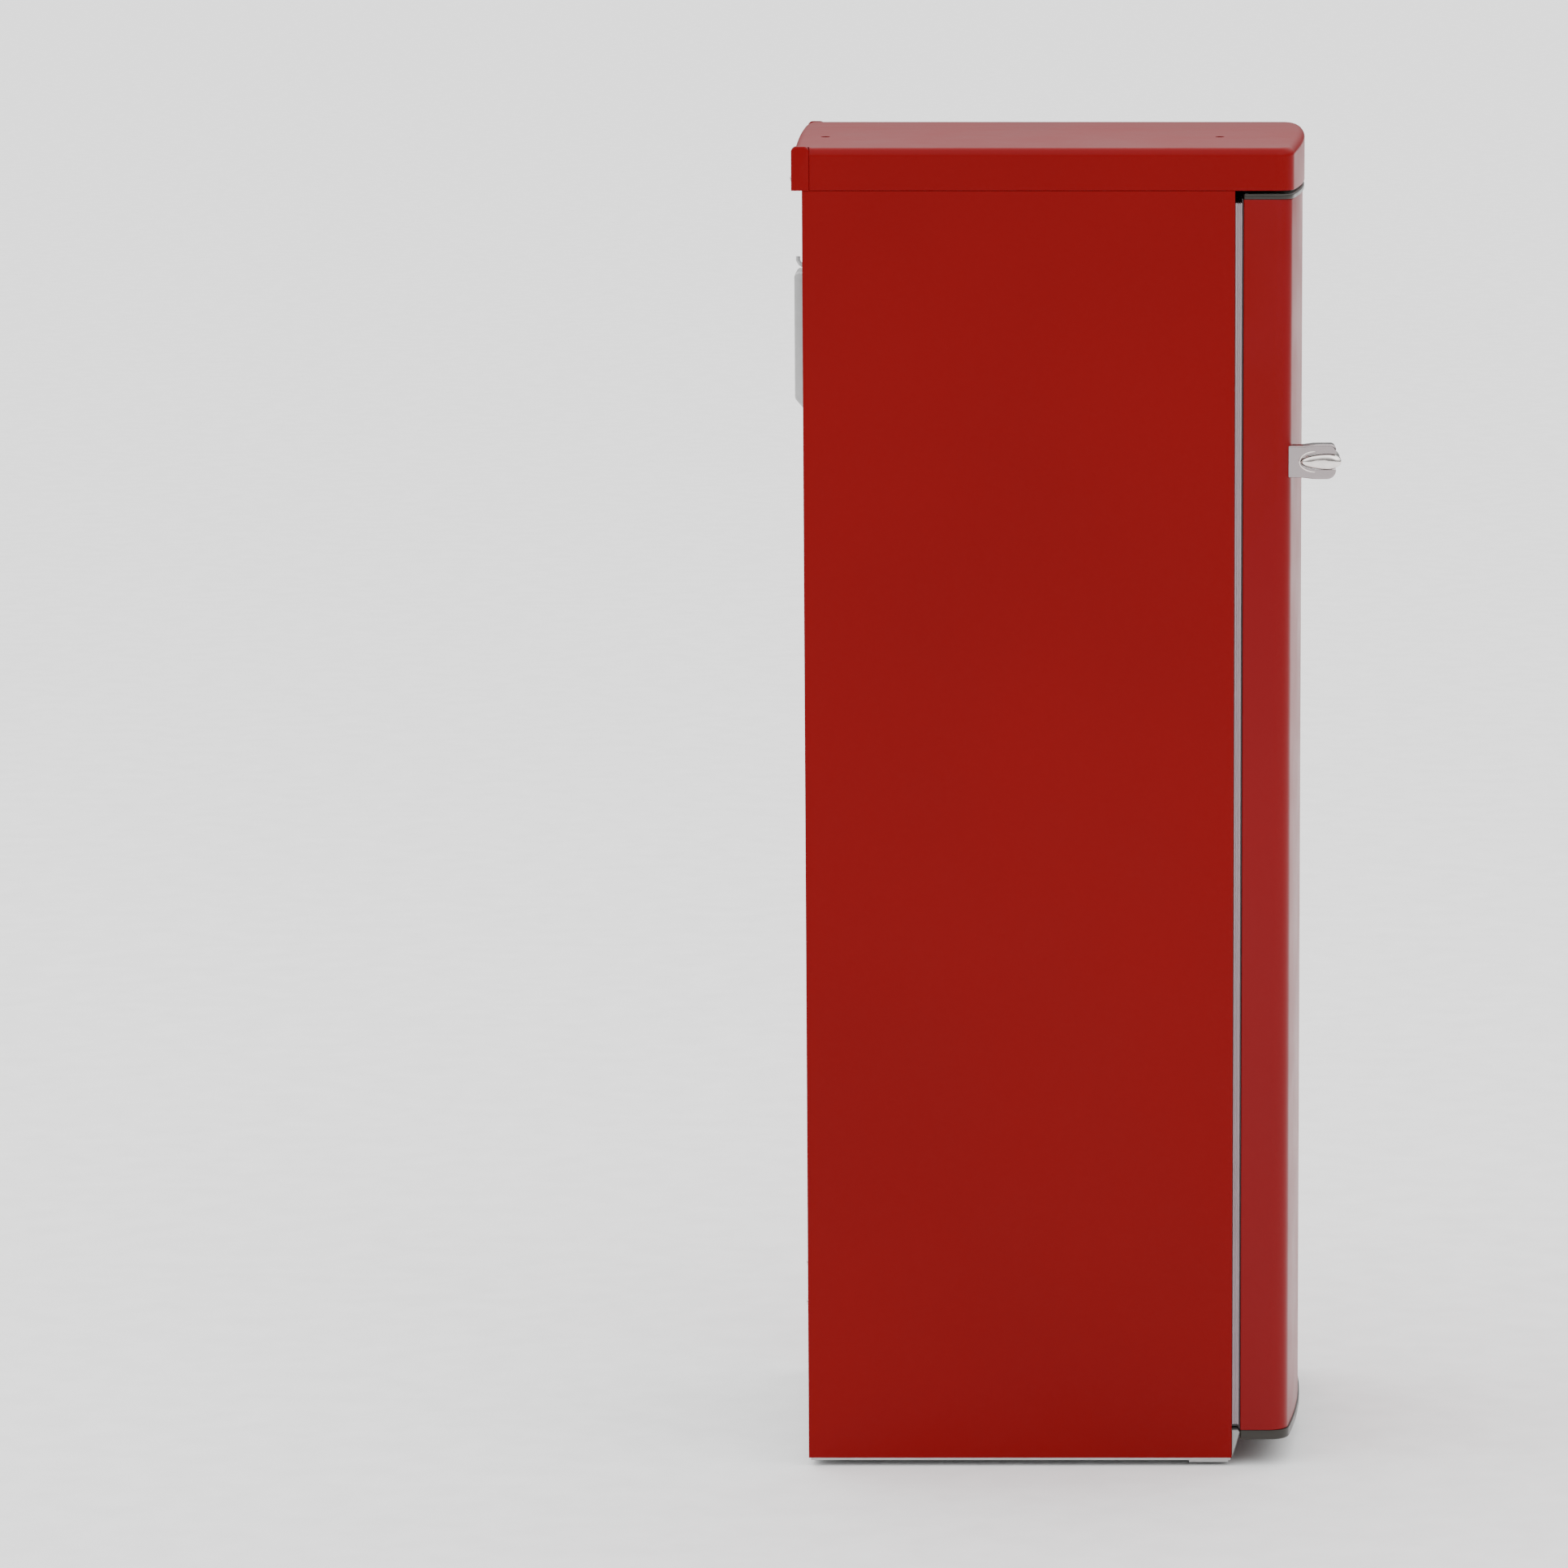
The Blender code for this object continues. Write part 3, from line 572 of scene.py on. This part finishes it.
def door_outer():
    """Bowed sheet-metal door skin with folded, rounded top, bottom and back edges."""
    low, high = SKIN[0].z / MM, SKIN[1].z / MM
    half = SKIN[1].x / MM
    back, crown = depth(SKIN[1].y), depth(SKIN[0].y)
    levels = rounded_levels(low, high, 1.2, 1.2, 3)
    ob = ring_piece("door_panel", bowed_rings(levels, crown, back, half),
                    "door_red", "door", ("door_skin",))
    inside = [(low + 1.2, DOOR_WALL), (high - 1.2, DOOR_WALL)]
    carve(ob, [ring_tool("door_hollow", bowed_rings(inside, crown, back + 0.2, half)),
               box_tool("door_mouth", (-272, 250), (back - 10, back + 6), (low + 22, high - 22))])


def door_trims():
    """Strips along the door's top and bottom edges, bored for the hinge pins."""
    for node, edges in (("door_top_trim", (0.6, 2.2)), ("door_bottom_trim", (3.2, 0.6))):
        low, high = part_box(node)
        half, back, crown = high.x / MM, depth(high.y), depth(low.y)
        levels = rounded_levels(low.z / MM, high.z / MM, *edges, 4)
        ob = ring_piece(f"{node}_strip", bowed_rings(levels, crown, back, half, 3.0),
                        "trim", "door", (node,))
        bore = [(HINGE_BORE_R, low.z / MM - 5), (HINGE_BORE_R, high.z / MM + 5)]
        carve(ob, [ring_tool(f"{node}_bore", turned_rings(HINGE_AT, "z", bore, 32))])


def gasket():
    """Ribbed bellows ring, swept round the door with mitred corners."""
    low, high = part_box("door_gasket")
    x0, x1, z0, z1 = (v / MM for v in (low.x, high.x, low.z, high.z))
    front, back = depth(low.y), depth(high.y)
    width, lip, ribs = 16.0, 1.6, 3
    pitch = (front - back - 2 * lip) / ribs
    profile = [(0.4, front), (0.0, front - 0.5), (0.0, front - lip)]
    for i in range(ribs):
        s = front - lip - pitch * i
        profile += [(1.3, s - pitch * 0.22), (1.5, s - pitch * 0.34), (1.3, s - pitch * 0.46),
                    (0.15, s - pitch * 0.7), (0.0, s - pitch)]
    profile += [(0.3, back + 0.6), (1.4, back), (14.6, back), (15.8, back + 0.8)]
    mirrored = [(width - d, s) for d, s in reversed(profile[3:-4])]
    profile += mirrored + [(width, front - lip), (15.6, front)]
    corners = [(x0, z0, 1, 1), (x1, z0, -1, 1), (x1, z1, -1, -1), (x0, z1, 1, -1)]
    rings = [[place(x + ux * d, s, z + uz * d) for d, s in profile] for x, z, ux, uz in corners]
    ring_piece("door_seal", rings, "gasket", "door", ("door_gasket",), 30, closed=True)


def handle():
    """Fork-shaped base and the round-nosed lever that lies in it."""
    low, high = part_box("handle_base")
    x0, x1 = low.x / MM, high.x / MM
    z, reach = (low.z + high.z) / 2 / MM, depth(low.y)
    tall = (high.z - low.z) / 2 / MM
    upper = [(630.0, tall - 2), (657.0, tall - 2), (663.0, tall - 1.1), (670.0, tall - 0.2),
             (677.0, tall)] + arc((reach - 7, tall - 7), 7, 90, 0, 10)
    lower = [(630.0, tall - 2), (655.0, tall - 2), (662.0, tall - 1.2), (669.0, tall - 0.3),
             (675.0, tall)] + arc((reach - 12, tall - 12), 12, 90, 0, 12)
    outline = upper + [(s, -h) for s, h in reversed(lower)]
    rings = []
    for x, shrink in side_rounding(x0, x1, 2.4, 5):
        ring = []
        for s, h in outline:
            at_nose = max(0.0, min(1.0, (s - (reach - 9)) / 9))
            ring.append(place(x, s - at_nose * shrink, z + h - shrink * h / tall))
        rings.append(ring)
    # the fork takes the chrome darkened as painted shade
    base = ring_piece("handle_fork", rings, "fork_chrome_painted_shade", "door", ("handle_base",), 40)
    slot_s, slot_reach, slot_half = 680, 28.5, 10.6
    turns = [math.radians(a) for a in range(0, 91, 5)]
    cradle = [(slot_s - slot_reach * math.cos(t), slot_half * math.sin(t)) for t in turns]
    cradle += [(740.0, slot_half)]
    slot_outline = [(s, z + h) for s, h in cradle] + [(s, z - h) for s, h in reversed(cradle[1:])]
    slot = [[place(x, s, h) for s, h in slot_outline] for x in (x0 - 20, x1 + 20)]
    seat = bowed_rings([(z - 60, -0.3), (z + 60, -0.3)], depth(SKIN[0].y),
                       depth(SKIN[1].y), SKIN[1].x / MM)
    carve(base, [ring_tool("fork_slot", slot), ring_tool("fork_seat", seat)])
    soften(base, 0.7, 2, 45)
    even_normals(base)
    for x, word in ((x0 + 0.1, "near"), (x1 - 0.1, "far")):
        rim_bead(x, z, word)
    lever(z)


def rim_bead(x, z, word):
    """Raised bead that follows the closed end of the fork's slot."""
    middle_s, reach, half = 672.3, 20.6, 13.4
    rings = []
    for i in range(31):
        turn = math.radians(-90 + 6 * i)
        thick = math.sqrt(max(0.02, 1 - (abs(i - 15) / 15.2) ** 8))
        at = (middle_s - reach * math.cos(turn), half * math.sin(turn))
        out = Vector((half * math.cos(turn), -reach * math.sin(turn))).normalized()
        ring = []
        for k in range(12):
            a = math.radians(30 * k)
            ring.append(place(x + thick * math.sin(a), at[0] - out.x * thick * math.cos(a),
                              z + at[1] - out.y * thick * math.cos(a)))
        rings.append(ring)
    bm = bmesh.new()
    skin_rings(bm, rings)
    piece(f"fork_bead_{word}", bm, "chrome", "door", (), 60)


def side_rounding(x0, x1, edge, steps):
    """(x, shrink) pairs that round both side faces of a block running along x."""
    first = [(x0 + edge * (1 - math.cos(math.pi / 2 * i / steps)),
              edge * (1 - math.sin(math.pi / 2 * i / steps))) for i in range(steps + 1)]
    last = [(x0 + x1 - x, shrink) for x, shrink in reversed(first)]
    return first + last


def lever(z):
    """Lever lofted from a round nose in the fork to a hollow-backed finger grip."""
    # x, s, forward reach of the front face, half height, forward reach of the rear face
    keys = [(-292.0, 680, 8, 3, -9), (-291.7, 684, 13, 6.2, -23), (-290.6, 687, 16, 8.6, -31),
            (-288.5, 689, 17, 9.8, -35), (-285, 690, 17, 10, -36.6), (-257, 690, 17, 10, -36.6),
            (-253, 690, 17, 10.1, -22), (-250, 690, 17, 10.5, -7), (-246, 690, 17, 11.2, 1),
            (-240, 690, 17, 12, 6), (-231, 689.2, 17.4, 12.9, 9), (-222, 688, 18, 13.4, 11),
            (-218, 687, 17.4, 12.8, 11), (-215.5, 686.4, 15.8, 11.4, 10.4),
            (-214, 686, 13.5, 9.4, 9.6)]
    steps = [math.radians(-90 + 7.5 * i) for i in range(25)]
    rings = []
    for x, s, reach, half, back in keys:
        front = [place(x, s + reach * math.cos(a), z + half * math.sin(a)) for a in steps]
        inner = half - 2.5 if back > 0 else half
        rear = [place(x, s + back * math.cos(a), z + inner * math.sin(a)) for a in reversed(steps)]
        rings.append(front + rear[1:-1])
    ring_piece("handle_grip", rings, "chrome", "door", ("handle_lever",), 50)


def feet():
    """Levelling feet with a tapering pad and a threaded stud."""
    for word in ("left", "right"):
        low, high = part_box(f"levelling_foot_{word}")
        x, s = (low.x + high.x) / 2 / MM, depth((low.y + high.y) / 2)
        r = (high.x - low.x) / 2 / MM
        profile = [(7.6, 0.0), (8.5, 0.2), (10.4, 1.0), (11.8, 1.9), (12.4, 2.6), (r, 3.2),
                   (r, 3.6), (r - 0.4, 3.9), (5.0, 3.9)]
        z = 4.1
        while z < high.z / MM - 1.2:
            profile += [(4.55, z + 0.45), (5.0, z + 0.9)]
            z += 0.9
        profile += [(4.2, high.z / MM)]
        ring_piece(f"foot_{word}_turned", turned_rings((x, s), "z", profile, 40),
                   "grey_plastic", f"foot_{word}", (f"levelling_foot_{word}",), 40)


def rollers():
    """Rear rollers with a hub and a rim, bored for their pins."""
    for word in ("left", "right"):
        low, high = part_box(f"rear_roller_{word}")
        x0, x1 = low.x / MM, high.x / MM
        s, z = depth((low.y + high.y) / 2), (low.z + high.z) / 2 / MM
        r = (high.z - low.z) / 2 / MM
        profile = [(ROLLER_BORE_R, x0), (5.5, x0), (6.0, x0 + 0.6), (9.5, x0 + 0.6), (10.2, x0),
                   (r - 0.8, x0), (r, x0 + 0.9), (r, x1 - 0.9), (r - 0.8, x1), (10.2, x1),
                   (9.5, x1 - 0.6), (6.0, x1 - 0.6), (5.5, x1), (ROLLER_BORE_R, x1)]
        rings = turned_rings((s, z), "x", profile, 40)
        ring_piece(f"roller_{word}_turned", rings, "black_plastic", f"roller_{word}",
                   (f"rear_roller_{word}",), 35, closed=True)


def rear_box():
    """Folded cover on the back wall, sloping at its lower end."""
    low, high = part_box("rear_cover_box")
    x0, x1 = low.x / MM, high.x / MM
    back, front = depth(high.y), depth(low.y)
    z0, z1 = low.z / MM, high.z / MM
    outline = [(front, z0), (back + 1.5, z0 + 15), (back + 0.4, z0 + 17), (back, z0 + 20),
               (back, z1 - 6), (back + 1.2, z1 - 2), (back + 4, z1), (front, z1)]
    rings = []
    for x, shrink in side_rounding(x0, x1, 2.5, 4):
        rings.append([place(x, s + shrink * (1 if s < back + 8 else 0),
                            h + shrink * (0.6 if h < z0 + 30 else -0.6)) for s, h in outline])
    ring_piece("terminal_box", rings, "steel", "cabinet", ("rear_cover_box",), 40)


def knob():
    """Turning knob with a fluted rim, a grip bar and a pointer groove."""
    low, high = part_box("thermostat_knob")
    x, z = (low.x + high.x) / 2 / MM, (low.z + high.z) / 2 / MM
    front, back = depth(low.y), depth(high.y)
    r = (high.x - low.x) / 2 / MM
    rings = []
    sides, flutes = 96, 24
    for radius, s, flute in ((3.0, back, 0), (3.0, 420.4, 0), (r - 0.5, 420.4, 0), (r, 421.0, 0.4),
                             (r, 427.0, 0.4), (r - 0.8, 428.4, 0.1), (r - 2.2, 429.2, 0)):
        ring = []
        for i in range(sides):
            turn = 2 * math.pi * i / sides
            rr = radius - flute * (0.5 + 0.5 * math.cos(turn * flutes))
            ring.append(place(x + rr * math.cos(turn), s, z + rr * math.sin(turn)))
        rings.append(ring)
    ob = ring_piece("control_knob", rings, "white", "knob", ("thermostat_knob",), 40)
    carve(ob, [box_tool("knob_bar", (x - 2.2, x + 2.2), (428.5, front), (z - 10.4, z + 10.4))],
          "UNION")
    carve(ob, [box_tool("knob_groove", (x - 0.4, x + 0.4), (front - 1, front + 2),
                        (z + 3, z + 12))])
    soften(ob, 0.35, 2, 45)


def dress_nodes():
    """Give the CAD nodes that stay in view their materials and rounded edges."""
    for name, ob in NODES.items():
        if name not in NODE_LOOK:
            continue
        ob.data.materials.clear()
        ob.data.materials.append(MATERIALS[NODE_LOOK[name]])
        if name in EDGE:
            soften(ob, EDGE[name], 2)


camera()
studio()
hood()
screws()
door_outer()
door_trims()
gasket()
handle()
feet()
rollers()
rear_box()
knob()
dress_nodes()
